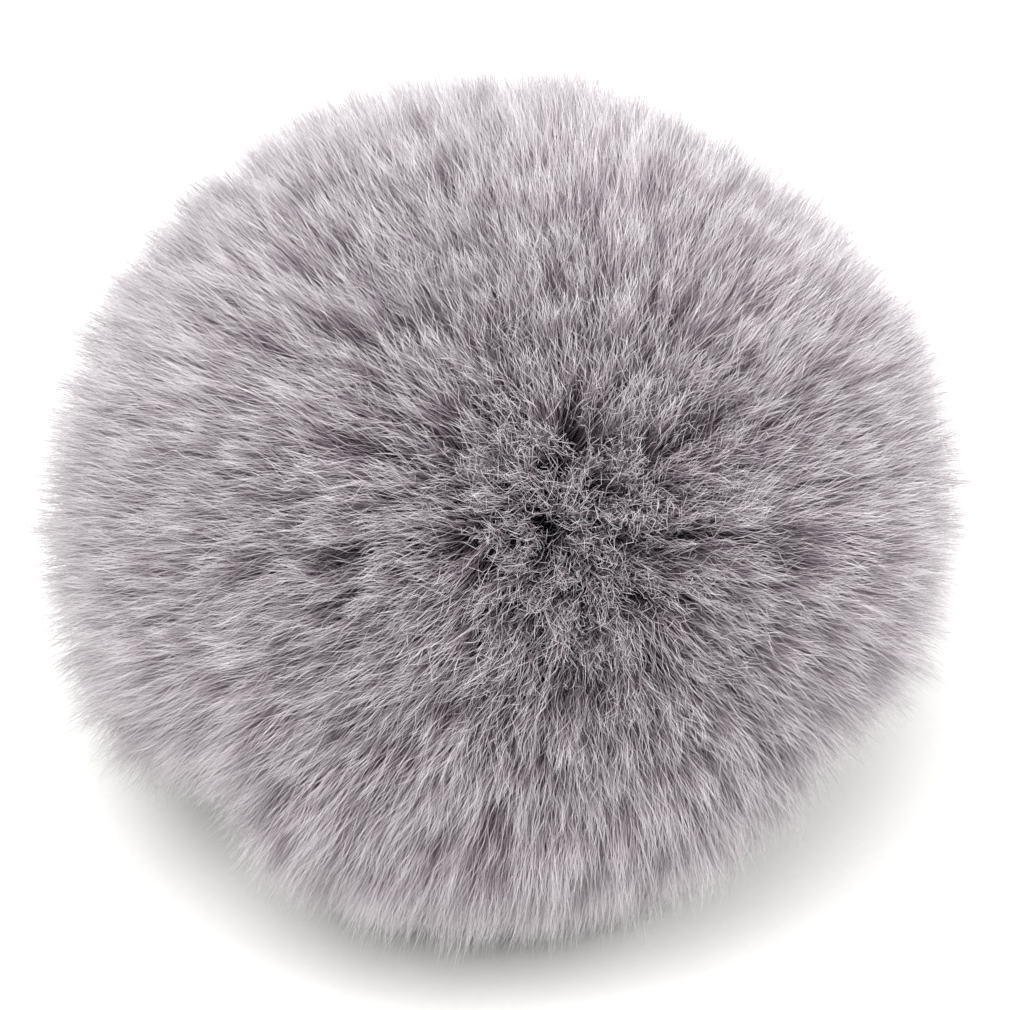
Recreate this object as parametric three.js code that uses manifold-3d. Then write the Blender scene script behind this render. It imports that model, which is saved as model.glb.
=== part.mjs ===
// A slip-over furry windscreen for a microphone: a sewn long-pile fur cover, pulled down over an open-cell foam
// core that takes the microphone in a blind bore. Millimetres, +Z up. The origin is in the middle of the mouth,
// on the surface that the windscreen stands on.
import * as THREE from "three";
import { mergeVertices } from "three/addons/utils/BufferGeometryUtils.js";
import Module from "manifold-3d";

const wasm = await Module();
wasm.setup();

// ---- Driving dimensions ----

// Outer shape of the pile
const furDiameter = 96; // across the tips of the pile, at its widest
const widestHeight = 36; // height of the widest ring
const furHeight = 82; // crown of the pile
const footPile = 4.5; // how far the pile stands out round the mouth, where it meets the surface
const footLift = 0.8; // the pile brushes the surface, and the rubber collar carries the weight
const footRound = 11; // length of the curve's flat start at the foot
const bellyRound = 18; // length of the curve's upright end at the widest ring
const gores = 6; // sewn panels round the ball
const tuftHeight = 1.8; // how far the tufts stand out of the pile, from dip to top
const tuftsPerGore = 3;
const tuftPitch = 13; // from one ring of tufts to the next, along the surface
const tuftFade = 9; // the tufts die out over this distance at the crown and at the foot

// Cloth of the cover
const backing = 1.2; // knitted backing of the fur
const tapeThickness = 0.7;
const tapeWidth = 8; // covers both allowances of a seam
const patchRadius = 8.5; // where the six seams meet at the crown
const bindingThickness = 0.7;
const bindingHeight = 12;
const bindingLift = 1.6; // the hem clears the surface
const elasticThickness = 1.2;
const elasticWidth = 6;

// Foam core
const coreDiameter = 40;
const coreHeight = 56; // crown of the foam
const boreDiameter = 20; // takes microphone bodies of 19 to 22 mm
const boreDepth = 36; // from the mouth to the pad
const padThickness = 4;
const sleeveThickness = 0.6;
const ringThickness = 1.2;
const ringWidth = 5;
const ringLift = 2; // ring above the lower end of the sleeve

// Rubber collar
const flangeThickness = 3;
const flangeChamfer = 0.6;
const neckWall = 2;
const neckHeight = 11; // above the flange
const lipHeight = 0.5; // gripping lips in the bore
const lipWidth = 2.4;
const lipPitch = 4.5;
const lipCount = 3;

// Fits
const slip = 0.4; // between the core and the inside of the cover
const gap = 0.3; // between pieces that touch

// Facets
const roundSegments = 36;
const shellSegments = 48;
const domeSteps = 7;
const pileSteps = 9; // on the pile's curve, below and again above the widest ring

// ---- Sizes that follow ----

const furRadius = furDiameter / 2;
const coreRadius = coreDiameter / 2;
const boreRadius = boreDiameter / 2;
const domeCentre = coreHeight - coreRadius;

const innerRadius = coreRadius + slip; // inside of the cover: tapes, patch and the binding's inner leaf
const backingInner = innerRadius + Math.max(tapeThickness, bindingThickness) + gap;
const backingOuter = backingInner + backing;
const elasticOuter = backingInner + elasticThickness;
const outerLeafInner = Math.max(backingOuter, elasticOuter) + gap;
const outerLeafOuter = outerLeafInner + bindingThickness;
const pileInner = outerLeafOuter + gap;

const bindingTop = bindingLift + bindingHeight;
const elasticBottom = bindingLift + bindingThickness + gap;
const elasticTop = elasticBottom + elasticWidth;

const neckRadius = boreRadius + neckWall;
const neckTop = flangeThickness + neckHeight;
const sleeveBottom = flangeThickness + gap;
const sleeveShoulder = neckTop + gap;
const skirtInner = neckRadius + gap; // lower part of the sleeve, pulled over the neck
const skirtOuter = skirtInner + sleeveThickness;
const ringInner = skirtOuter + gap;
const ringOuter = ringInner + ringThickness;
const ringBottom = sleeveBottom + ringLift;
const padRadius = boreRadius + sleeveThickness;
const padBottom = boreDepth + gap;
const foamBore = padRadius + gap;
const foamCounterbore = ringOuter + gap;
const foamStep = sleeveShoulder + sleeveThickness + gap;
const foamBottom = flangeThickness + gap;
const foamBlindEnd = padBottom + padThickness + gap;

// ---- Geometry helpers ----

const at = (radius, height) => new THREE.Vector2(radius, height);

// Revolves a profile of (radius, height) points about Z. The outer side of the profile runs upwards.
function turned(profile, segments = roundSegments) {
  return new THREE.LatheGeometry(profile, segments).rotateX(Math.PI / 2).rotateZ(Math.PI / segments);
}

// A ring whose section is the closed outline, listed anticlockwise.
function ring(outline, segments = roundSegments) {
  return turned([...outline, outline[0]], segments);
}

// Quarter circle about the dome's centre, from its equator up to the axis.
function domeArc(radius) {
  const points = new THREE.EllipseCurve(0, domeCentre, radius, radius, 0, Math.PI / 2).getPoints(domeSteps);
  points[domeSteps].x = 0;
  return points;
}

// A geometry with shared vertices and without the empty triangles that a lathe leaves on its axis.
function welded(geometry) {
  const bare = geometry.clone();
  bare.deleteAttribute("normal");
  bare.deleteAttribute("uv");
  const merged = mergeVertices(bare);
  const index = merged.getIndex().array;
  const kept = [];
  for (let i = 0; i < index.length; i += 3) {
    const [a, b, c] = index.slice(i, i + 3);
    if (a !== b && b !== c && c !== a) {
      kept.push(a, b, c);
    }
  }
  merged.setIndex(kept);
  return merged;
}

// A closed geometry as a solid that can be cut.
function solidOf(geometry) {
  const closed = welded(geometry);
  return new wasm.Manifold(
    new wasm.Mesh({
      numProp: 3,
      vertProperties: new Float32Array(closed.getAttribute("position").array),
      triVerts: new Uint32Array(closed.getIndex().array),
    }),
  );
}

// A cut solid as a geometry again.
function geometryOf(solid) {
  const mesh = solid.getMesh();
  const geometry = new THREE.BufferGeometry();
  geometry.setAttribute("position", new THREE.BufferAttribute(new Float32Array(mesh.vertProperties), 3));
  geometry.setIndex(Array.from(mesh.triVerts));
  return geometry;
}

// An upright prism over a flat outline, from below the surface to above the crown.
function prism(corners, azimuth) {
  const reach = furHeight + furRadius;
  const geometry = new THREE.ExtrudeGeometry(new THREE.Shape(corners), { depth: 2 * reach, bevelEnabled: false });
  return solidOf(geometry.translate(0, 0, -reach).rotateZ(azimuth));
}

// The space of one gore: a wedge whose sides stay half a gap inside the planes of its two seams.
function goreSpace(azimuth) {
  const half = Math.PI / gores;
  const apex = gap / 2 / Math.sin(half);
  const reach = furDiameter;
  const corner = (side) => at(apex + reach * Math.cos(half), side * reach * Math.sin(half));
  return prism([at(apex, 0), corner(-1), corner(1)], azimuth);
}

// The space of one seam tape: a strip along the seam, which stops short of the crown patch and of its neighbours.
function tapeSpace(azimuth) {
  const start = Math.max(patchRadius + gap, (tapeWidth / 2 + gap) / Math.tan(Math.PI / gores));
  const half = tapeWidth / 2;
  return prism([at(start, -half), at(furRadius, -half), at(furRadius, half), at(start, half)], azimuth);
}

// ---- Fur cover ----

// The pile's outer curve: a rounded foot, an upright belly at the widest ring and an elliptical crown.
function pileCurve() {
  const foot = at(pileInner + footPile, footLift);
  const belly = at(furRadius, widestHeight);
  const lower = new THREE.CubicBezierCurve(
    foot,
    at(foot.x + footRound, footLift),
    at(furRadius, widestHeight - bellyRound),
    belly,
  );
  const upper = new THREE.EllipseCurve(0, widestHeight, furRadius, furHeight - widestHeight, 0, Math.PI / 2);
  const points = [...lower.getSpacedPoints(pileSteps), ...upper.getPoints(pileSteps).slice(1)];
  points[points.length - 1].x = 0;
  return points;
}

// Lifts and sinks the pile's surface in staggered tufts, which repeat on every gore.
function raiseTufts(geometry, profileLength, pileStart) {
  const position = geometry.getAttribute("position");
  const centre = new THREE.Vector3(0, 0, widestHeight);
  const point = new THREE.Vector3();
  for (let i = 0; i < position.count; i += 1) {
    if (i % profileLength >= pileStart) {
      point.fromBufferAttribute(position, i);
      const azimuth = Math.atan2(point.y, point.x);
      const fromAxis = Math.hypot(point.x, point.y);
      const fade = Math.min(1, fromAxis / tuftFade, (point.z - footLift) / tuftFade);
      const ringPhase = (Math.PI * (point.z - widestHeight)) / tuftPitch;
      const lift = (tuftHeight / 2) * Math.cos(gores * tuftsPerGore * azimuth) * Math.cos(ringPhase) * fade;
      const outward = point.clone().sub(centre).normalize();
      point.addScaledVector(outward, lift);
      position.setXYZ(i, point.x, point.y, point.z);
    }
  }
  return geometry;
}

// Backing and pile of all gores in one shell: a dome over the core, with a tongue that goes into the binding.
function furShell() {
  const tongueBottom = elasticTop + gap;
  const overBinding = bindingTop + gap;
  const inside = [...domeArc(backingInner).reverse(), at(backingInner, tongueBottom)];
  const mouth = [
    at(backingOuter, tongueBottom),
    at(backingOuter, overBinding),
    at(pileInner, overBinding),
    at(pileInner, footLift),
  ];
  const profile = [...inside, ...mouth, ...pileCurve()];
  const pileStart = inside.length + mouth.length;
  return solidOf(raiseTufts(turned(profile, shellSegments), profile.length, pileStart));
}

// The layer of cloth that lies against the inside of the backing, above the binding.
function liningLayer() {
  const outer = innerRadius + tapeThickness;
  const bottom = bindingTop + gap;
  const profile = [
    ...domeArc(innerRadius).reverse(),
    at(innerRadius, bottom),
    at(outer, bottom),
    ...domeArc(outer),
  ];
  return solidOf(turned(profile));
}

// The small round patch where all seams meet, cut from the same layer as the tapes.
function crownPatch(layer) {
  const disc = turned([at(0, coreHeight - patchRadius), at(patchRadius, coreHeight - patchRadius),
    at(patchRadius, furHeight), at(0, furHeight)]);
  return geometryOf(layer.intersect(solidOf(disc)));
}

// The hem: cloth folded up round the edge of the backing, with the elastic in the fold.
function hemBinding() {
  const innerLeafOuter = innerRadius + bindingThickness;
  const fold = bindingLift + bindingThickness;
  return ring([
    at(innerRadius, bindingLift),
    at(outerLeafOuter, bindingLift),
    at(outerLeafOuter, bindingTop),
    at(outerLeafInner, bindingTop),
    at(outerLeafInner, fold),
    at(innerLeafOuter, fold),
    at(innerLeafOuter, bindingTop),
    at(innerRadius, bindingTop),
  ]);
}

// A plain band between two radii.
function band(inner, outer, bottom, top) {
  return ring([at(inner, bottom), at(outer, bottom), at(outer, top), at(inner, top)]);
}

// ---- Core ----

// Foam with a round end, and a blind bore that widens over the collar's neck.
function foamCore() {
  return turned([
    at(0, foamBlindEnd),
    at(foamBore, foamBlindEnd),
    at(foamBore, foamStep),
    at(foamCounterbore, foamStep),
    at(foamCounterbore, foamBottom),
    at(coreRadius, foamBottom),
    ...domeArc(coreRadius),
  ]);
}

// The soft disc at the blind end of the bore.
function tipPad() {
  return turned([
    at(0, padBottom),
    at(padRadius, padBottom),
    at(padRadius, padBottom + padThickness),
    at(0, padBottom + padThickness),
  ]);
}

// The mesh sleeve: it lines the bore, and its skirt is pulled over the collar's neck.
function boreSleeve() {
  return ring([
    at(skirtInner, sleeveBottom),
    at(skirtOuter, sleeveBottom),
    at(skirtOuter, sleeveShoulder + sleeveThickness),
    at(boreRadius + sleeveThickness, sleeveShoulder + sleeveThickness),
    at(boreRadius + sleeveThickness, boreDepth),
    at(boreRadius, boreDepth),
    at(boreRadius, sleeveShoulder),
    at(skirtInner, sleeveShoulder),
  ]);
}

// The rubber end: a flat flange to stand on, a neck inside the foam, and lips that grip the microphone.
function rubberCollar() {
  const middle = neckTop / 2;
  const lips = [];
  for (let i = lipCount - 1; i >= 0; i -= 1) {
    const height = middle + (i - (lipCount - 1) / 2) * lipPitch;
    lips.push(at(boreRadius, height + lipWidth / 2));
    lips.push(at(boreRadius - lipHeight, height));
    lips.push(at(boreRadius, height - lipWidth / 2));
  }
  return ring([
    at(boreRadius, 0),
    at(coreRadius - flangeChamfer, 0),
    at(coreRadius, flangeChamfer),
    at(coreRadius, flangeThickness),
    at(neckRadius, flangeThickness),
    at(neckRadius, neckTop),
    at(boreRadius, neckTop),
    ...lips,
  ]);
}

// ---- Materials and assembly ----

const finish = (color, roughness) => new THREE.MeshStandardMaterial({ color, roughness, metalness: 0 });
const fur = finish("#bdb7bc", 0.95);
const tape = finish("#8d878c", 0.9);
const binding = finish("#5f5a60", 0.9);
const elastic = finish("#2b292c", 0.85);
const foam = finish("#3a383b", 1);
const softPad = finish("#4a474b", 1);
const knit = finish("#262528", 0.9);
const rubber = finish("#1d1c1e", 0.7);
const nylon = finish("#2e2d30", 0.5);

const cover = new THREE.Group();
const core = new THREE.Group();

function add(group, name, geometry, material) {
  const mesh = new THREE.Mesh(geometry, material);
  mesh.name = name;
  group.add(mesh);
}

const shell = furShell();
const layer = liningLayer();
for (let i = 0; i < gores; i += 1) {
  const middle = (2 * Math.PI * i) / gores;
  const seam = middle + Math.PI / gores;
  add(cover, `fur_gore_${i + 1}`, geometryOf(shell.intersect(goreSpace(middle))), fur);
  add(cover, `seam_tape_${i + 1}`, geometryOf(layer.intersect(tapeSpace(seam))), tape);
}
add(cover, "crown_patch", crownPatch(layer), tape);
add(cover, "hem_binding", hemBinding(), binding);
add(cover, "hem_elastic", band(backingInner, elasticOuter, elasticBottom, elasticTop), elastic);

add(core, "foam_core", foamCore(), foam);
add(core, "tip_pad", tipPad(), softPad);
add(core, "bore_sleeve", boreSleeve(), knit);
add(core, "sleeve_ring", band(ringInner, ringOuter, ringBottom, ringBottom + ringWidth), nylon);
add(core, "rubber_collar", rubberCollar(), rubber);

const windscreen = new THREE.Group();
windscreen.add(core, cover);

export default windscreen;
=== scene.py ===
"""A round furry microphone windscreen, standing on its mouth on a pale floor in soft studio light.

The fur cover is made fibre by fibre: tufts of tapered acrylic hair grow out of six knitted gores, lean with
the nap and droop round the hem. Under it sit the taped seams, the elastic hem and the foam core with its
rubber end. Sizes are in millimetres, and become metres where a mesh, a light or the camera is made.
"""

import math

import bmesh
import bpy
import numpy as np
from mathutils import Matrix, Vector


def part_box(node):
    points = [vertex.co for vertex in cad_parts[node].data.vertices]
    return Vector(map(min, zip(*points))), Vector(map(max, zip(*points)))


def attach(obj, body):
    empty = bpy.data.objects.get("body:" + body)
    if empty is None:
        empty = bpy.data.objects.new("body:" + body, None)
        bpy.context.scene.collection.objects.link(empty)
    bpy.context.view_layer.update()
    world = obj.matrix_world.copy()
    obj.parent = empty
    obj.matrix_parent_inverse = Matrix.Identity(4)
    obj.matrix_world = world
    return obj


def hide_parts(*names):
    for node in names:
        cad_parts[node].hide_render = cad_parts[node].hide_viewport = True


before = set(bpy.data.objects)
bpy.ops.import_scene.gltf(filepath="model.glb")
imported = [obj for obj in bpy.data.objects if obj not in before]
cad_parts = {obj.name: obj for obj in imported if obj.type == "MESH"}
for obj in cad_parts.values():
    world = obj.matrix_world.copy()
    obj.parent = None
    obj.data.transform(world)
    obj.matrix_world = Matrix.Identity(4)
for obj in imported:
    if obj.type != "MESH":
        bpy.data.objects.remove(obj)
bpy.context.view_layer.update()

MM = 0.001
random = np.random.default_rng(20)


# ---- Sizes from the frame ----


def corners(node):
    """A node's lowest and highest corner, in millimetres."""
    low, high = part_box(node)
    return np.array(low) / MM, np.array(high) / MM


GORES = [name for name in sorted(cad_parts) if name.startswith("fur_gore_")]
TAPES = [name for name in sorted(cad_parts) if name.startswith("seam_tape_")]
GORE_ANGLE = 2 * math.pi / len(GORES)

foam_low, foam_high = corners("foam_core")
pad_low, pad_high = corners("tip_pad")
sleeve_low, sleeve_high = corners("bore_sleeve")
ring_low, ring_high = corners("sleeve_ring")
collar_high = corners("rubber_collar")[1]
hem_low, hem_high = corners("hem_binding")
elastic_low, elastic_high = corners("hem_elastic")
patch_high = corners("crown_patch")[1]


def true_radius(high):
    """The radius of a turned node, from the box of its faceted solid, in whole tenths of a millimetre."""
    return round(max(high[0], high[1]), 1)


FOAM_RADIUS = true_radius(foam_high)
DOME_CENTRE = foam_high[2] - FOAM_RADIUS  # height of the middle of the ball, and of the foam's round end
BACKING_RADIUS = true_radius(elastic_high)  # outside of the knitted backing
BACKING_THICKNESS = 1.2
LINING_RADIUS = FOAM_RADIUS + 0.4  # inside of the tapes and of the binding
CLOTH_THICKNESS = 0.7  # tapes, patch and binding
HEM_RADIUS = true_radius(hem_high)
PATCH_RADIUS = true_radius(patch_high)
GAP = 0.3  # between cloths that touch
BORE_RADIUS = 10.0  # inside of the sleeve and of the rubber end
SLEEVE_THICKNESS = 0.6
SKIRT_RADIUS = true_radius(sleeve_high)
PAD_RADIUS = true_radius(pad_high)
RING_RADIUS = true_radius(ring_high)
RING_THICKNESS = 1.2
NECK_RADIUS = BORE_RADIUS + 2  # outside of the rubber end above its flange
FLANGE_THICKNESS = foam_low[2] - GAP
LIP_HEIGHT = 0.5  # the lips that grip the microphone
LIP_PITCH = 4.5
LIP_WIDTH = 2.4

# ---- The pile ----

PILE_RADIUS = 47.9  # mean reach of the longest tips, sideways
PILE_RISE = 45.2  # and upwards
PILE_DROP = DOME_CENTRE - 0.6  # and down to the floor
FOOT_SQUARENESS = 3.5  # how full the pile is between its widest ring and the floor

TUFTS = 5700
FIBRES_PER_TUFT = 29
PARTS_PER_GORE = 4
CURVE_STATIONS = np.array([0.0, 0.45, 0.72, 0.88, 1.0])  # places along a fibre, closer towards the tip
FIBRE_TAPER = np.array([1.0, 1.0, 0.9, 0.68])  # girth at the stations; the last is the point
FIBRE_RADIUS = 0.043
FOOT_ANGLE = math.radians(-57)  # the lowest tips, seen from the middle of the ball
FLOOR_CLEARANCE = 0.35
TONE_STRIPS = 64  # strips of the fibre map, one tone of fibre each
FIBRE_MAP = "OFBake"  # a fibre's own map: across picks its tone, along runs from root to tip
NAP = np.array([-0.073, 0.010, 0.032])  # lean of the whole pile
TUFT_LEAN = 0.072  # lean of each tuft its own way
CLUMPING = 0.6  # how far the tips of a tuft gather, from 0 to 1
STRAY_SHARE = 0.3  # hairs that leave their tuft and cross the others
CRIMP = 0.28
LONGEST_TUFT = 1.03  # share of the reach
TUFT_UNEVENNESS = 0.125  # how much shorter a tuft may be
FRINGE_DROP = 0.07  # how much further the lowest hairs reach, down to the floor
UNDERFUR_SHARE = 0.5  # hairs that end below the tips of their tuft
UNDERFUR_DROP = 0.2  # by how much at most
# Where the pile opens low on the ball: azimuth, depth as a share of the reach, and width either side.
PARTINGS = [
    (30, 0.02, 14, 14),
    (90, 0.015, 14, 14),
    (150, 0.03, 14, 14),
    (223, 0.15, 13, 5),
    (330, 0.1, 18, 20),
]
PARTING_FALL = 0.07  # how far at most the hairs fall aside
# Where the ball swells or flattens: azimuth, elevation and share of the reach.
SWELLS = [
    (45, 45, -0.02),
    (180, 0, 0.015),
    (0, 0, 0.01),
    (316, -43, -0.095),
    (222, -46, -0.05),
    (268, -50, -0.01),
]
SWELL_WIDTH = 0.12


def unit(vectors):
    return vectors / np.linalg.norm(vectors, axis=-1, keepdims=True)


def smooth(low, high, value):
    """0 below low, 1 above high and a smooth step between."""
    share = np.clip((value - low) / (high - low), 0, 1)
    return share * share * (3 - 2 * share)


def waves(points, pitch, count=7):
    """A smooth field of noise, about -1 to 1, through the given points, as slow as pitch."""
    turns = unit(random.normal(size=(count, 3))) * (2 * math.pi / pitch)
    phases = random.uniform(0, 2 * math.pi, count)
    return np.sin(points @ turns.T + phases).sum(axis=1) / math.sqrt(count / 2) / 1.6


def pile_reach(direction):
    """Distance from the middle of the ball to the mean surface of the tips, in each direction."""
    across = np.hypot(direction[:, 0], direction[:, 1])
    up = direction[:, 2]
    crown = 1 / np.hypot(across / PILE_RADIUS, up / PILE_RISE)
    foot = (across / PILE_RADIUS) ** FOOT_SQUARENESS + (np.abs(up) / PILE_DROP) ** FOOT_SQUARENESS
    return np.where(up >= 0, crown, foot ** (-1 / FOOT_SQUARENESS))


def partings(direction):
    """How far the pile opens over the seams, as a share of its reach, and which way it falls from them."""
    azimuth = np.arctan2(direction[:, 1], direction[:, 0])
    low = 1 - smooth(-0.6, -0.1, direction[:, 2])
    opening = np.zeros(len(direction))
    fall = np.zeros(len(direction))
    for middle, depth, before, after in PARTINGS:
        off = azimuth - math.radians(middle)
        off = np.degrees(np.arctan2(np.sin(off), np.cos(off)))
        off /= np.where(off < 0, before, after)
        bell = np.exp(-off * off) * low
        opening += depth * bell
        fall += min(depth, PARTING_FALL) * off * bell
    tangent = np.column_stack([-np.sin(azimuth), np.cos(azimuth), np.zeros(len(azimuth))])
    return opening, tangent * fall[:, None]


def swelling(direction):
    """Slow unevenness of the ball's outline, as a share of its reach."""
    total = np.zeros(len(direction))
    for azimuth, elevation, share in SWELLS:
        a, e = math.radians(azimuth), math.radians(elevation)
        middle = np.array([math.cos(e) * math.cos(a), math.cos(e) * math.sin(a), math.sin(e)])
        total += share * np.exp((direction @ middle - 1) / SWELL_WIDTH)
    return total


def root_of(direction):
    """Where the fibre with its tip in each direction grows out of the backing, and the backing's normal."""
    angle = np.arcsin(np.clip(direction[:, 2], -1, 1))
    flat = direction * (1, 1, 0)
    flat = unit(np.where(np.abs(flat).sum(axis=1, keepdims=True) < 1e-6, (1, 0, 0), flat))
    lowest = hem_high[2] + 0.6
    side = flat * BACKING_RADIUS
    side[:, 2] = DOME_CENTRE + np.clip(angle / FOOT_ANGLE, 0, 1) * (lowest - DOME_CENTRE)
    dome = direction * BACKING_RADIUS
    dome[:, 2] += DOME_CENTRE
    on_side = (angle < 0)[:, None]
    return np.where(on_side, side, dome), np.where(on_side, flat, direction)


def spread_directions(count):
    """Directions spread evenly over the ball down to the foot, in a loosened spiral, and their pitch."""
    lowest = math.sin(FOOT_ANGLE)
    index = np.arange(count) + 0.5
    up = 1 - (1 - lowest) * index / count
    turn = index * math.pi * (3 - math.sqrt(5))
    across = np.sqrt(1 - up**2)
    even = np.column_stack([across * np.cos(turn), across * np.sin(turn), up])
    pitch = math.sqrt(2 * math.pi * (1 - lowest) / count)
    return unit(even + random.normal(size=(count, 3)) * pitch * 0.3), pitch


def grow_pile():
    """The fibres' centre lines (fibre, station, xyz), their radii and tones, and their roots' azimuths."""
    tuft, pitch = spread_directions(TUFTS)
    tuft_at = tuft * PILE_RADIUS
    length = LONGEST_TUFT - TUFT_UNEVENNESS * random.beta(1.3, 2.2, TUFTS)
    length += 0.010 * waves(tuft_at, 30)
    length += 0.009 * waves(tuft_at, 11)
    lean = unit(random.normal(size=(TUFTS, 3))) * TUFT_LEAN * random.uniform(0.3, 1.3, (TUFTS, 1))
    lean += NAP
    for axis in range(3):
        lean[:, axis] += 0.012 * waves(tuft_at, 40) + 0.016 * waves(tuft_at, 13)
    tuft_tone = 0.5 + 0.08 * waves(tuft_at, 32) + 0.15 * random.normal(size=TUFTS)

    home = np.repeat(np.arange(TUFTS), FIBRES_PER_TUFT)
    count = len(home)
    offset = random.normal(size=(count, 3)) * pitch * 0.45
    own = unit(tuft[home] + offset)
    scatter = np.where(random.random(count) < STRAY_SHARE, 0.038, 0.014)
    stray = scatter[:, None] * random.normal(size=(count, 3))
    tip = unit(tuft[home] + offset * (1 - CLUMPING) + lean[home] + stray)
    opening, fall = partings(tip)
    tip = unit(tip + fall)
    root, normal = root_of(own)

    fringe = 1 - smooth(-0.8, -0.69, tip[:, 2])  # the lowest hairs all reach the floor and hide the hem
    uneven = length[home] * (1 - opening) * (1 + swelling(tip)) - 1
    reach = pile_reach(tip) * (1 + uneven * (1 - fringe) + FRINGE_DROP * fringe)
    under = random.random(count) < UNDERFUR_SHARE
    reach *= 1 + 0.008 * random.normal(size=count) - 0.03 * random.beta(1, 3, count)
    reach *= 1 - UNDERFUR_DROP * under * random.beta(1.3, 2.2, count) * (1 - 0.6 * fringe)
    reach = np.minimum(reach, (DOME_CENTRE - FLOOR_CLEARANCE) / np.maximum(-tip[:, 2], 0.1))
    stand = (reach - BACKING_RADIUS)[:, None]
    tip *= reach[:, None]
    tip[:, 2] += DOME_CENTRE
    bend = root + normal * stand * 0.5
    start = root - normal * 0.4
    sway = random.normal(size=(count, 3)) * 0.5
    curl = random.normal(size=(count, 3)) * 0.6
    lines = np.empty((count, len(CURVE_STATIONS), 3))
    for station, t in enumerate(CURVE_STATIONS):
        lines[:, station] = (1 - t) ** 2 * start + 2 * t * (1 - t) * bend + t**2 * tip
        lines[:, station] += sway * math.sin(math.pi * t) * t + curl * max(0.0, t - 0.5) ** 2 * 2.6
    lines[:, 2:] += random.normal(size=(count, 3, 3)) * CRIMP
    lines[:, :, 2] = np.maximum(lines[:, :, 2], FLOOR_CLEARANCE + random.uniform(0, 0.5, (count, 1)))

    girth = FIBRE_RADIUS * random.uniform(0.72, 1.25, (count, 1))
    tone = np.clip(tuft_tone[home] + 0.12 * random.normal(size=count), 0.01, 0.99)
    return lines, girth * FIBRE_TAPER, tone, np.arctan2(root[:, 1], root[:, 0])


# ---- Meshes ----


def raw_mesh(name, points, faces):
    """A mesh from points in millimetres and faces that all have the same number of corners."""
    mesh = bpy.data.meshes.new(name)
    mesh.vertices.add(len(points))
    mesh.vertices.foreach_set("co", np.asarray(points * MM, dtype=np.float32).reshape(-1))
    mesh.loops.add(faces.size)
    mesh.loops.foreach_set("vertex_index", faces.astype(np.int32).reshape(-1))
    mesh.polygons.add(len(faces))
    mesh.polygons.foreach_set("loop_start", np.arange(0, faces.size, faces.shape[1], dtype=np.int32))
    mesh.polygons.foreach_set("use_smooth", np.ones(len(faces), dtype=bool))
    mesh.update(calc_edges=True)
    return mesh


def tubes(name, lines, radii, sides=3):
    """A closed tube along every line (tube, station, xyz), capped at its root and pointed at its end."""
    count, stations, _ = lines.shape
    rings = stations - 1
    along = unit(np.gradient(lines, axis=1))
    aside = unit(np.cross(along, unit(random.normal(size=(count, 1, 3)))))
    across = np.cross(along, aside)
    each = sides * rings + 1
    points = np.empty((count, each, 3))
    for side in range(sides):
        turn = 2 * math.pi * side / sides
        way = math.cos(turn) * aside[:, :rings] + math.sin(turn) * across[:, :rings]
        points[:, side : sides * rings : sides] = lines[:, :rings] + way * radii[:, :, None]
    points[:, -1] = lines[:, -1]

    faces = [(0, side + 1, side) for side in range(1, sides - 1)]
    for ring in range(rings - 1):
        for side in range(sides):
            a, b = sides * ring + side, sides * ring + (side + 1) % sides
            faces += [(a, b, b + sides), (a, b + sides, a + sides)]
    last = sides * (rings - 1)
    faces += [(last + side, last + (side + 1) % sides, sides * rings) for side in range(sides)]
    corner = np.array(faces)[None] + (np.arange(count) * each)[:, None, None]
    return raw_mesh(name, points.reshape(-1, 3), corner.reshape(-1, 3))


def map_fibres(mesh, tone):
    """Gives every fibre a strip of the fibre map: across picks its tone, along runs from root to tip."""
    rings = len(CURVE_STATIONS) - 1
    across = np.append(np.tile([0.1, 0.5, 0.9], rings), 0.5)
    along = np.append(np.repeat(CURVE_STATIONS[:rings], 3), 1.0)
    u = (np.floor(tone * TONE_STRIPS)[:, None] + across) / TONE_STRIPS
    places = np.stack([u, np.broadcast_to(along, u.shape)], axis=-1).reshape(-1, 2)
    corner = np.empty(len(mesh.loops), dtype=np.int32)
    mesh.loops.foreach_get("vertex_index", corner)
    layer = mesh.uv_layers.new(name=FIBRE_MAP)
    layer.uv.foreach_set("vector", places[corner].astype(np.float32).reshape(-1))


def weave_faces(rows, columns, wrap_rows=False, wrap_columns=False):
    """Quads of a grid of points, numbered row by row."""
    row = np.arange(rows if wrap_rows else rows - 1)[:, None]
    column = np.arange(columns if wrap_columns else columns - 1)[None]
    below, above = row * columns, (row + 1) % rows * columns
    right = (column + 1) % columns
    return np.stack([below + column, below + right, above + right, above + column], axis=-1).reshape(-1, 4)


def welded(mesh):
    """The mesh with points that coincide made one, and the empty faces between them gone."""
    work = bmesh.new()
    work.from_mesh(mesh)
    bmesh.ops.remove_doubles(work, verts=work.verts, dist=2e-6)
    bmesh.ops.dissolve_degenerate(work, dist=1e-6, edges=work.edges)
    bmesh.ops.recalc_face_normals(work, faces=work.faces)
    work.to_mesh(mesh)
    work.free()
    mesh.polygons.foreach_set("use_smooth", np.ones(len(mesh.polygons), dtype=bool))
    return mesh


def store(mesh, name, values):
    """Keeps a number for every point of the mesh, for its material to read."""
    layer = mesh.attributes.new(name, "FLOAT", "POINT")
    layer.data.foreach_set("value", values.astype(np.float32).reshape(-1))


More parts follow.
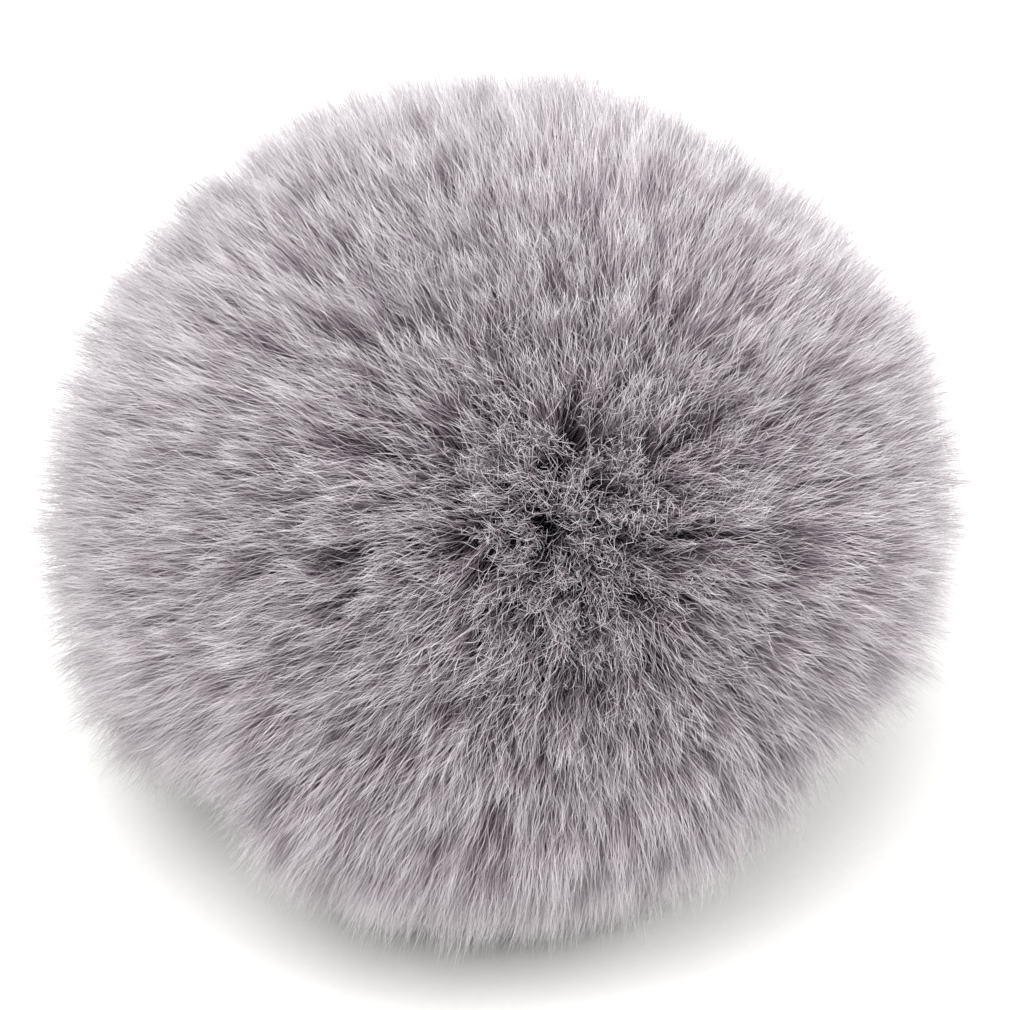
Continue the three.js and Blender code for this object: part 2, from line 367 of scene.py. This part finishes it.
def eased(outline, radius, steps=4, closed=True):
    """The outline with its corners rounded off; a corner keeps to a third of its shorter side."""
    outline = np.array(outline, dtype=float)
    count = len(outline)
    points = []
    for index, corner in enumerate(outline):
        if not closed and index in (0, count - 1):
            points.append(corner)
            continue
        back = outline[index - 1] - corner
        ahead = outline[(index + 1) % count] - corner
        cut = min(radius, np.linalg.norm(back) / 3, np.linalg.norm(ahead) / 3)
        start = corner + unit(back) * cut
        end = corner + unit(ahead) * cut
        for t in np.linspace(0, 1, steps):
            points.append((1 - t) ** 2 * start + 2 * t * (1 - t) * corner + t**2 * end)
    return np.array(points)


def divided(outline, step, closed=True):
    """The outline with points added, so that none are further apart than step."""
    ends = np.roll(outline, -1, axis=0) if closed else outline[1:]
    points = []
    for start, end in zip(outline, ends):
        parts = max(1, math.ceil(np.linalg.norm(end - start) / step))
        points += [start + (end - start) * t for t in np.arange(parts) / parts]
    if not closed:
        points.append(outline[-1])
    return np.array(points)


def around(profile, segments):
    """The profile of (radius, height) turned about the axis: points (row, column, xyz)."""
    turn = np.arange(segments) * 2 * math.pi / segments
    radius, height = profile[:, 0, None], profile[:, 1, None]
    return np.stack([radius * np.cos(turn), radius * np.sin(turn), height + 0 * turn], axis=-1)


def turned_mesh(name, points, closed=True):
    """A mesh from turned points; an open profile has both its ends on the axis."""
    rows, columns, _ = points.shape
    faces = weave_faces(rows, columns, wrap_rows=closed, wrap_columns=True)
    return raw_mesh(name, points.reshape(-1, 3), faces)


def slab(name, outer, inner):
    """A closed piece of cloth between two grids of points of the same size."""
    rows, columns, _ = outer.shape
    size = rows * columns
    face = weave_faces(rows, columns)
    index = np.arange(size).reshape(rows, columns)
    rim = np.concatenate([index[0, :-1], index[:-1, -1], index[-1, :0:-1], index[:0:-1, 0]])
    after = np.roll(rim, -1)
    wall = np.stack([rim, rim + size, after + size, after], axis=-1)
    points = np.concatenate([outer.reshape(-1, 3), inner.reshape(-1, 3)])
    return raw_mesh(name, points, np.concatenate([face, face[:, ::-1] + size, wall]))


def new_piece(name, mesh, material, body, node):
    """A shown object for the mesh, which rides on a body in place of a node."""
    mesh.materials.append(material)
    piece = bpy.data.objects.new(name, mesh)
    bpy.context.scene.collection.objects.link(piece)
    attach(piece, body)
    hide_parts(node)
    return piece


CELL_TABLE = random.uniform(0.1, 0.9, (16, 16, 16, 3))


def pores(points, size):
    """How deep each point lies in its foam cell, from 0 on the wall between two cells to 1 inside one."""
    place = points / size
    home = np.floor(place).astype(int)
    nearest = np.full(len(points), 9.0)
    second = nearest.copy()
    for shift in np.ndindex(3, 3, 3):
        cell = home + np.array(shift) - 1
        middle = cell + CELL_TABLE[tuple((cell % 16).T)]
        distance = np.linalg.norm(place - middle, axis=1)
        second = np.minimum(second, np.maximum(nearest, distance))
        nearest = np.minimum(nearest, distance)
    return smooth(0.06, 0.42, second - nearest)


# ---- Materials ----


def linear(hex_colour):
    """An sRGB hex colour as the linear RGBA that the shaders take."""
    channels = [int(hex_colour[i : i + 2], 16) / 255 for i in (1, 3, 5)]
    return (*[c / 12.92 if c <= 0.04045 else ((c + 0.055) / 1.055) ** 2.4 for c in channels], 1.0)


def add(tree, kind, inputs=None, **settings):
    """Adds a node with its own settings; each input is given a value, or a link from another node."""
    made = tree.nodes.new(kind)
    for name, value in settings.items():
        setattr(made, name, value)
    for name, value in (inputs or {}).items():
        if isinstance(value, bpy.types.NodeSocket):
            tree.links.new(value, made.inputs[name])
        else:
            made.inputs[name].default_value = value
    return made


def new_material(name):
    """An empty node material's tree, and the material."""
    material = bpy.data.materials.new(name)
    material.use_nodes = True
    material.node_tree.nodes.clear()
    return material, material.node_tree


def shades(tree, value, stops):
    """A colour ramp over the value, from (place, hex) stops."""
    ramp = add(tree, "ShaderNodeValToRGB", {"Fac": value})
    elements = ramp.color_ramp.elements
    while len(elements) < len(stops):
        elements.new(0.5)
    for element, (place, colour) in zip(elements, stops):
        element.position = place
        element.color = linear(colour)
    return ramp.outputs["Color"]


def surface(tree, **inputs):
    """The shader and the output; the inputs' names have _ for a space."""
    named = {name.replace("_", " "): value for name, value in inputs.items()}
    shader = add(tree, "ShaderNodeBsdfPrincipled", named)
    output = add(tree, "ShaderNodeOutputMaterial")
    tree.links.new(shader.outputs[0], output.inputs["Surface"])


def noise(tree, where, scale, detail):
    return add(tree, "ShaderNodeTexNoise", {"Vector": where, "Scale": scale, "Detail": detail}).outputs["Fac"]


def cells(tree, where, scale):
    inputs = {"Vector": where, "Scale": scale}
    return add(tree, "ShaderNodeTexVoronoi", inputs, feature="F1").outputs["Distance"]


def acrylic_pile():
    """Long acrylic hair: mauve at the root and pale at the tip. The darkening towards the root is painted
    shade, so the pile looks deep where it parts, and the pale tips are partly painted light.
    """
    material, tree = new_material("acrylic_pile")
    place = add(tree, "ShaderNodeUVMap", uv_map=FIBRE_MAP)
    split = add(tree, "ShaderNodeSeparateXYZ", {"Vector": place.outputs["UV"]})
    # The fibre's mauve colour with painted shade that darkens it towards the root, and painted light in the
    # palest stops at the tip.
    fibre_colour_and_painted_shade = shades(
        tree,
        split.outputs["Y"],
        [
            (0.0, "#5b4453"),
            (0.54, "#7d6877"),
            (0.78, "#9c9099"),
            (0.9, "#b4aeb2"),
            (0.96, "#c3c0c2"),
            (1.0, "#d0ced0"),
        ],
    )
    across = split.outputs["X"]
    strength = add(tree, "ShaderNodeMapRange", {"Value": across, "To Min": 0.76, "To Max": 1.22})
    scaled = {0: fibre_colour_and_painted_shade, "Scale": strength.outputs["Result"]}
    toned = add(tree, "ShaderNodeVectorMath", scaled, operation="SCALE")
    surface(
        tree,
        Base_Color=toned.outputs[0],
        Roughness=0.6,
        IOR=1.45,
        Sheen_Weight=0.2,
        Sheen_Roughness=0.5,
        Sheen_Tint=linear("#f2ebf0"),
    )
    return material


DIAGONAL_WAVE = 2 * math.pi / (10 * math.sqrt(3))  # scale of a diagonal wave whose pitch is 1


def plain_cloth(name, kind, pitch, dark, light, bump=0.3, roughness=0.9):
    """Cloth with a fine even pattern of the given kind and pitch, from dark to light threads."""
    material, tree = new_material(name)
    where = add(tree, "ShaderNodeTexCoord").outputs["Object"]
    if kind == "DIAGONAL":
        pattern = add(
            tree,
            "ShaderNodeTexWave",
            {"Vector": where, "Scale": DIAGONAL_WAVE / (pitch * MM), "Distortion": 1.2, "Detail": 1.0},
            wave_type="BANDS",
            bands_direction="DIAGONAL",
        ).outputs["Fac"]
    else:
        pattern = cells(tree, where, 1 / (pitch * MM))
    uneven = noise(tree, where, 160.0, 5.0)
    mixed = add(tree, "ShaderNodeMath", {0: pattern, 1: uneven}, operation="MULTIPLY")
    colour = shades(tree, mixed.outputs[0], [(0.05, dark), (0.55, light)])
    raised = add(tree, "ShaderNodeBump", {"Height": pattern, "Strength": bump, "Distance": 0.2 * MM})
    surface(
        tree,
        Base_Color=colour,
        Roughness=roughness,
        Normal=raised.outputs[0],
        Sheen_Weight=0.25,
    )
    return material


def cellular_foam(name, dark, light):
    """Open-cell polyurethane: matt, with painted shade making the pores darker than the skin between them."""
    material, tree = new_material(name)
    depth = add(tree, "ShaderNodeAttribute", attribute_name="pore").outputs["Fac"]
    where = add(tree, "ShaderNodeTexCoord").outputs["Object"]
    grain = cells(tree, where, 2400.0)
    mixed = add(tree, "ShaderNodeMath", {0: depth, 1: grain}, operation="MULTIPLY")
    total = add(tree, "ShaderNodeMath", {0: depth, 1: mixed.outputs[0]}, operation="SUBTRACT")
    # Painted shade: the deeper a point lies in its pore, the darker its colour.
    colour = shades(tree, total.outputs[0], [(0.0, light), (0.6, dark)])
    surface(tree, Base_Color=colour, Roughness=1.0, Sheen_Weight=0.15)
    return material


def moulded(name, dark, light, roughness, ior):
    """Moulded rubber or nylon: one colour, a little cloudy, with a fine spark-eroded texture."""
    material, tree = new_material(name)
    where = add(tree, "ShaderNodeTexCoord").outputs["Object"]
    cloud = noise(tree, where, 220.0, 6.0)
    colour = shades(tree, cloud, [(0.3, dark), (0.7, light)])
    tooth = noise(tree, where, 4000.0, 2.0)
    raised = add(tree, "ShaderNodeBump", {"Height": tooth, "Strength": 0.25, "Distance": 0.05 * MM})
    surface(tree, Base_Color=colour, Roughness=roughness, IOR=ior, Normal=raised.outputs[0])
    return material


def studio_floor():
    """Matt white paper with a barely visible tooth."""
    material, tree = new_material("white_paper")
    where = add(tree, "ShaderNodeTexCoord").outputs["Object"]
    tooth = noise(tree, where, 900.0, 4.0)
    surface(tree, Base_Color=shades(tree, tooth, [(0.3, "#d3d2d0"), (0.7, "#d6d5d3")]), Roughness=0.9)
    return material


PILE = acrylic_pile()
# Knitted backing: dull mauve loops that stay dark between the roots.
KNIT_BACKING = plain_cloth("knitted_backing", "CELLS", 1.1, "#3b353a", "#6b626a")
# Cotton tape: paler than the backing, with a fine diagonal weave, so the seams stand out inside.
COTTON_TAPE = plain_cloth("cotton_tape", "DIAGONAL", 0.9, "#5c555b", "#8d858c")
# Twill: a dark, ribbed edge to the mouth.
TWILL = plain_cloth("twill_binding", "DIAGONAL", 0.8, "#322e33", "#5d565d")
# Braided elastic: nearly black.
BRAID = plain_cloth("braided_elastic", "DIAGONAL", 0.7, "#151416", "#2c2a2d")
# Knitted mesh: black, with small open cells.
MESH_KNIT = plain_cloth("mesh_sleeve", "CELLS", 1.0, "#0f0f10", "#2a292b")
# Open-cell foam: charcoal, with painted shade making the pores black.
FOAM = cellular_foam("polyurethane_foam", "#0d0c0d", "#3a383a")
# A softer foam: a shade lighter, so the blind end of the bore shows.
SOFT_FOAM = cellular_foam("soft_foam", "#1a191a", "#4b484b")
# Moulded rubber: near black with a dull bloom.
RUBBER = moulded("moulded_rubber", "#161517", "#1f1e20", 0.62, 1.52)
# Moulded nylon: near black with a satin shine.
NYLON = moulded("moulded_nylon", "#1b1a1c", "#242325", 0.42, 1.53)
# Polyester thread: a paler line on the tape and the hem.
THREAD = plain_cloth("polyester_thread", "DIAGONAL", 0.5, "#6e666d", "#a49ba3", roughness=0.6)

# ---- Fur cover: pile and backing ----


def side_and_dome(radius, bottom, crown_gap, steps):
    """Points (distance from the axis, height) up a straight side and over the dome, evenly spaced."""
    straight = DOME_CENTRE - bottom
    length = straight + radius * math.acos(crown_gap / radius)
    along = np.linspace(0, length, steps)
    angle = np.clip(along - straight, 0, None) / radius
    height = np.minimum(bottom + along, DOME_CENTRE) + radius * np.sin(angle)
    return np.column_stack([radius * np.cos(angle), height])


WALE_PITCH = 1.15  # columns of loops in the knitted backing


def gore_grid(radius, azimuth, rows, columns, bottom, relief):
    """A grid over one gore at the given radius, half a gap clear of its two seams."""
    profile = side_and_dome(radius, bottom, 0.6, rows)
    half = GORE_ANGLE / 2 - np.arcsin(GAP / 2 / profile[:, 0])
    turn = azimuth + np.linspace(-1, 1, columns)[None] * half[:, None]
    width = np.linspace(-1, 1, columns)[None] * half[:, None] * profile[:, :1]
    out = profile[:, :1] + relief * np.sin(2 * math.pi * width / WALE_PITCH)
    height = np.broadcast_to(profile[:, 1:], turn.shape)
    return np.stack([out * np.cos(turn), out * np.sin(turn), height], axis=-1)


tongue = elastic_high[2] + GAP

lines, radii, tones, azimuths = grow_pile()
gore_place = np.mod(azimuths / GORE_ANGLE + 0.5, len(GORES))
gore_of = np.minimum(gore_place.astype(int), len(GORES) - 1)
part_of = ((gore_place - gore_of) * PARTS_PER_GORE).astype(int)
for index, gore in enumerate(GORES):
    for part in range(PARTS_PER_GORE):
        mine = (gore_of == index) & (part_of == part)
        mesh = tubes(f"pile_{index + 1}_{part + 1}", lines[mine], radii[mine])
        map_fibres(mesh, tones[mine])
        new_piece(mesh.name, mesh, PILE, "fur_cover", gore)
    outer = gore_grid(BACKING_RADIUS, index * GORE_ANGLE, 96, 37, tongue, 0.05)
    inner = gore_grid(BACKING_RADIUS - BACKING_THICKNESS, index * GORE_ANGLE, 96, 37, tongue, 0.05)
    mesh = slab(f"fur_backing_{index + 1}", outer, inner)
    backing = new_piece(mesh.name, mesh, KNIT_BACKING, "fur_cover", gore)

# ---- Fur cover: tapes, patch and hem ----

TAPE_WIDTH = 8.0
STITCH_PITCH = 1.9
STITCH_LENGTH = 1.35
STITCH_RADIUS = 0.14


def stitch_lines(points, tangents):
    """Short threads that lie on the cloth at the points, along the tangents."""
    shares = np.array([-0.5, -0.3, 0.0, 0.3, 0.5]) * STITCH_LENGTH
    return points[:, None] + tangents[:, None] * shares[None, :, None]


def stitched(name, lines, body, node):
    girth = STITCH_RADIUS * np.array([0.45, 1.0, 1.1, 0.9])
    mesh = tubes(name, lines, np.broadcast_to(girth, (len(lines), 4)), sides=6)
    return new_piece(name, mesh, THREAD, body, node)


def tape_grid(radius, azimuth, rows, columns, bottom, crown_gap):
    """A grid along one seam, with the width of the tape all the way up."""
    profile = side_and_dome(radius, bottom, crown_gap, rows)
    width = np.linspace(-0.5, 0.5, columns) * TAPE_WIDTH
    away = np.array([math.cos(azimuth), math.sin(azimuth), 0])
    aside = np.array([-math.sin(azimuth), math.cos(azimuth), 0])
    sink = radius - np.sqrt(radius**2 - width**2)
    out = profile[:, 0, None] - sink[None] * (profile[:, 0, None] / radius)
    high = profile[:, 1, None] - sink[None] * (np.clip(profile[:, 1, None] - DOME_CENTRE, 0, None) / radius)
    return away * out[..., None] + aside * width[None, :, None] + np.array([0, 0, 1]) * high[..., None]


tape_bottom = hem_high[2] + GAP
tape_start = 9.0  # from the axis, clear of the patch and of the tapes beside it
tape_length = DOME_CENTRE - tape_bottom
tape_length += (LINING_RADIUS + CLOTH_THICKNESS) * math.acos(tape_start / LINING_RADIUS)
for index, node in enumerate(TAPES):
    seam = (index + 0.5) * GORE_ANGLE
    outer = tape_grid(LINING_RADIUS + CLOTH_THICKNESS, seam, 91, 17, tape_bottom, tape_start)
    inner = tape_grid(LINING_RADIUS, seam, 91, 17, tape_bottom, tape_start)
    mesh = slab(f"cotton_tape_{index + 1}", outer, inner)
    tape = new_piece(mesh.name, mesh, COTTON_TAPE, "fur_cover", node)
    threads = []
    for column in (2, 14):
        line = inner[:, column]
        length = np.concatenate([[0], np.cumsum(np.linalg.norm(np.diff(line, axis=0), axis=1))])
        at = np.arange(STITCH_PITCH, length[-1] - STITCH_PITCH, STITCH_PITCH)
        points = np.column_stack([np.interp(at, length, line[:, axis]) for axis in range(3)])
        tangents = unit(np.column_stack([np.gradient(points[:, axis]) for axis in range(3)]))
        threads.append(stitch_lines(points, tangents))
    thread = stitched(f"tape_stitches_{index + 1}", np.concatenate(threads), "fur_cover", node)


def patch_grid(radius):
    """Rings over the crown out to the rim of the patch, from the axis outwards."""
    angle = np.linspace(0, math.asin(PATCH_RADIUS / (LINING_RADIUS + CLOTH_THICKNESS)), 26)
    return np.column_stack([radius * np.sin(angle), DOME_CENTRE + radius * np.cos(angle)])


section = np.concatenate([patch_grid(LINING_RADIUS), patch_grid(LINING_RADIUS + CLOTH_THICKNESS)[::-1]])
mesh = welded(turned_mesh("crown_disc", around(section, 120), closed=False))
disc = new_piece(mesh.name, mesh, COTTON_TAPE, "fur_cover", "crown_patch")
turn = np.arange(0, 2 * math.pi, 2 * math.pi / 26)
stitch_ring = PATCH_RADIUS - 1.1
stitch_height = DOME_CENTRE + math.sqrt(LINING_RADIUS**2 - stitch_ring**2)
points = np.column_stack([stitch_ring * np.cos(turn), stitch_ring * np.sin(turn), 0 * turn + stitch_height])
tangents = np.column_stack([-np.sin(turn), np.cos(turn), 0 * turn])
threads = stitch_lines(points, tangents)
disc_thread = stitched("disc_stitches", threads, "fur_cover", "crown_patch")

GATHERS = 54  # small folds that the elastic draws the hem into
GATHER_HEIGHT = 0.16
HEM_SEGMENTS = 432


def hem_outline():
    """The section of the binding: cloth folded up round the edge of the backing."""
    inside, outside = LINING_RADIUS, HEM_RADIUS
    bottom, top, t = hem_low[2], hem_high[2], CLOTH_THICKNESS
    return [
        (inside, bottom),
        (outside, bottom),
        (outside, top),
        (outside - t, top),
        (outside - t, bottom + t),
        (inside + t, bottom + t),
        (inside + t, top),
        (inside, top),
    ]


profile = divided(eased(hem_outline(), 0.5), 0.6)
points = around(profile, HEM_SEGMENTS)
turn = np.arange(HEM_SEGMENTS) * 2 * math.pi / HEM_SEGMENTS
drawn = 1 - smooth(0.55, 1.0, (profile[:, 1] - hem_low[2]) / (hem_high[2] - hem_low[2]))
gather = GATHER_HEIGHT * np.sin(GATHERS * turn + 1.3 * np.sin(5 * turn) + 0.8 * np.sin(11 * turn + 1))
points[:, :, :2] *= 1 + (drawn[:, None] * gather[None] / HEM_RADIUS)[..., None]
mesh = turned_mesh("folded_binding", points)
binding = new_piece(mesh.name, mesh, TWILL, "fur_cover", "hem_binding")
turn = np.arange(0, 2 * math.pi, 2 * math.pi / 76)
hem_line = HEM_RADIUS + 0.06
points = np.column_stack([hem_line * np.cos(turn), hem_line * np.sin(turn), 0 * turn + hem_high[2] - 1.4])
tangents = np.column_stack([-np.sin(turn), np.cos(turn), 0 * turn])
threads = stitch_lines(points, tangents)
hem_thread = stitched("hem_stitches", threads, "fur_cover", "hem_binding")

BRAID_RIBS = 8
BRAID_SEGMENTS = 360
section = [
    (BACKING_RADIUS - BACKING_THICKNESS, elastic_low[2]),
    (BACKING_RADIUS, elastic_low[2]),
    (BACKING_RADIUS, elastic_high[2]),
    (BACKING_RADIUS - BACKING_THICKNESS, elastic_high[2]),
]
profile = divided(eased(section, 0.35), 0.16)
points = around(profile, BRAID_SEGMENTS)
up = (profile[:, 1] - elastic_low[2]) / (elastic_high[2] - elastic_low[2])
rib = np.sin(up * 2 * math.pi * BRAID_RIBS)
turn = np.arange(BRAID_SEGMENTS) * 2 * math.pi / BRAID_SEGMENTS
braid = 0.06 * rib[:, None] * np.sin(90 * turn)[None]
points[:, :, :2] *= 1 + (braid / BACKING_RADIUS)[..., None]
mesh = turned_mesh("braided_band", points)
new_piece(mesh.name, mesh, BRAID, "fur_cover", "hem_elastic")

# ---- Core ----

PORE_SIZE = 1.25  # open cells, drawn a little coarse so that they show
PORE_DEPTH = 0.3
FOAM_STEP = 0.33
BORE_STEP = 1.2

skirt_top = collar_high[2] + GAP  # height of the sleeve's shoulder
foam_bore = PAD_RADIUS + GAP
counterbore = RING_RADIUS + GAP
foam_step = skirt_top + SLEEVE_THICKNESS + GAP
blind_end = pad_high[2] + GAP
angle = np.linspace(0, math.pi / 2, round(FOAM_RADIUS * math.pi / 2 / FOAM_STEP))
dome = np.column_stack([FOAM_RADIUS * np.cos(angle), DOME_CENTRE + FOAM_RADIUS * np.sin(angle)])
dome[-1, 0] = 0
inside = np.array(
    [
        (0, blind_end),
        (foam_bore, blind_end),
        (foam_bore, foam_step),
        (counterbore, foam_step),
        (counterbore, foam_low[2]),
        (FOAM_RADIUS, foam_low[2]),
        (FOAM_RADIUS, DOME_CENTRE),
    ]
)
bore = divided(eased(inside[:-1], 0.5, closed=False), BORE_STEP, closed=False)
side = divided(inside[-2:], FOAM_STEP, closed=False)
points = around(np.concatenate([bore[:-1], side[:-1], dome]), 380)
flat = points.reshape(-1, 3)
skin = np.hypot(flat[:, 0], flat[:, 1]) > FOAM_RADIUS - 0.1
skin |= flat[:, 2] > DOME_CENTRE + PORE_SIZE
pore = pores(flat, PORE_SIZE) * skin * smooth(foam_low[2], foam_low[2] + 1, flat[:, 2])
inward = flat - (0, 0, DOME_CENTRE)
inward[:, 2] = np.maximum(inward[:, 2], 0)
flat -= unit(inward + 1e-6) * (pore * PORE_DEPTH)[:, None]
mesh = turned_mesh("foam_bullet", points, closed=False)
store(mesh, "pore", pore)
mesh = welded(mesh)
new_piece(mesh.name, mesh, FOAM, "core", "foam_core")

section = [(0, pad_low[2]), (PAD_RADIUS, pad_low[2]), (PAD_RADIUS, pad_high[2]), (0, pad_high[2])]
profile = divided(eased(section, 0.8, closed=False), 0.4, closed=False)
points = around(profile, 160)
flat = points.reshape(-1, 3)
pore = pores(flat, PORE_SIZE)
middle = (pad_low[2] + pad_high[2]) / 2
flat[:, 2] -= np.sign(flat[:, 2] - middle) * pore * 0.2
mesh = turned_mesh("soft_disc", points, closed=False)
store(mesh, "pore", pore)
mesh = welded(mesh)
new_piece(mesh.name, mesh, SOFT_FOAM, "core", "tip_pad")

SLEEVE_RIBS = 72
SLEEVE_SEGMENTS = 288
sleeve_top = sleeve_high[2]
section = [
    (SKIRT_RADIUS - SLEEVE_THICKNESS, sleeve_low[2]),
    (SKIRT_RADIUS, sleeve_low[2]),
    (SKIRT_RADIUS, skirt_top + SLEEVE_THICKNESS),
    (BORE_RADIUS + SLEEVE_THICKNESS, skirt_top + SLEEVE_THICKNESS),
    (BORE_RADIUS + SLEEVE_THICKNESS, sleeve_top),
    (BORE_RADIUS, sleeve_top),
    (BORE_RADIUS, skirt_top),
    (SKIRT_RADIUS - SLEEVE_THICKNESS, skirt_top),
]
profile = divided(eased(section, 0.25), 0.7)
points = around(profile, SLEEVE_SEGMENTS)
turn = np.arange(SLEEVE_SEGMENTS) * 2 * math.pi / SLEEVE_SEGMENTS
points[:, :, :2] *= 1 + (0.05 * np.sin(SLEEVE_RIBS * turn) / BORE_RADIUS)[None, :, None]
mesh = turned_mesh("knitted_sleeve", points)
sleeve = new_piece(mesh.name, mesh, MESH_KNIT, "core", "bore_sleeve")

section = [
    (RING_RADIUS - RING_THICKNESS, ring_low[2]),
    (RING_RADIUS, ring_low[2]),
    (RING_RADIUS, ring_high[2]),
    (RING_RADIUS - RING_THICKNESS, ring_high[2]),
]
mesh = turned_mesh("nylon_clamp", around(divided(eased(section, 0.35), 0.8), 144))
new_piece(mesh.name, mesh, NYLON, "core", "sleeve_ring")

flange_radius = true_radius(collar_high)
lips = []
middle = collar_high[2] / 2
for place in (1, 0, -1):
    height = middle + place * LIP_PITCH
    lips += [
        (BORE_RADIUS, height + LIP_WIDTH / 2),
        (BORE_RADIUS - LIP_HEIGHT, height),
        (BORE_RADIUS, height - LIP_WIDTH / 2),
    ]
section = [
    (BORE_RADIUS, 0),
    (flange_radius, 0),
    (flange_radius, FLANGE_THICKNESS),
    (NECK_RADIUS, FLANGE_THICKNESS),
    (NECK_RADIUS, collar_high[2]),
    (BORE_RADIUS, collar_high[2]),
    *lips,
]
mesh = turned_mesh("rubber_end", around(divided(eased(section, 0.7, steps=6), 1.2), 192))
new_piece(mesh.name, mesh, RUBBER, "core", "rubber_collar")

# ---- Floor, light and camera ----

FLOOR_SIZE = 3000
half = FLOOR_SIZE / 2
floor_points = np.array([(-half, -half, 0), (half, -half, 0), (half, half, 0), (-half, half, 0)])
floor_mesh = raw_mesh("floor", floor_points, np.array([(0, 1, 2, 3)]))
floor_mesh.materials.append(studio_floor())
floor = bpy.data.objects.new("floor", floor_mesh)
bpy.context.scene.collection.objects.link(floor)

world = bpy.data.worlds.new("studio")
world.use_nodes = True
world.node_tree.nodes["Background"].inputs["Color"].default_value = linear("#ffffff")
world.node_tree.nodes["Background"].inputs["Strength"].default_value = 1.3
bpy.context.scene.world = world


def softbox(name, place, size, power):
    """A square soft light at place, in millimetres, facing the middle of the ball. Power is in watts."""
    data = bpy.data.lights.new(name, "AREA")
    data.size = size * MM
    data.energy = power
    light = bpy.data.objects.new(name, data)
    light.location = Vector(place) * MM
    towards = Vector((0, 0, DOME_CENTRE * MM)) - light.location
    light.rotation_euler = towards.to_track_quat("-Z", "Y").to_euler()
    light.visible_camera = False
    bpy.context.scene.collection.objects.link(light)


softbox("key", (-180, -400, 770), 700, 11.0)
softbox("fill", (700, -200, 500), 600, 5.0)

CAMERA_ELEVATION = 35
CAMERA_DISTANCE = 450
VIEW_WIDTH = 103.5  # what the picture takes in across the ball
LOOK_AT = (0.0, 0.0, 36.0)
camera_data = bpy.data.cameras.new("camera")
camera_data.sensor_width = 36
camera_data.lens = 36 * CAMERA_DISTANCE / VIEW_WIDTH
camera = bpy.data.objects.new("camera", camera_data)
elevation = math.radians(CAMERA_ELEVATION)
away = Vector((0, -math.cos(elevation), math.sin(elevation)))
camera.location = (Vector(LOOK_AT) + away * CAMERA_DISTANCE) * MM
camera.rotation_euler = (-away).to_track_quat("-Z", "Y").to_euler()
bpy.context.scene.collection.objects.link(camera)
bpy.context.scene.camera = camera
bpy.context.scene.view_settings.view_transform = "Standard"
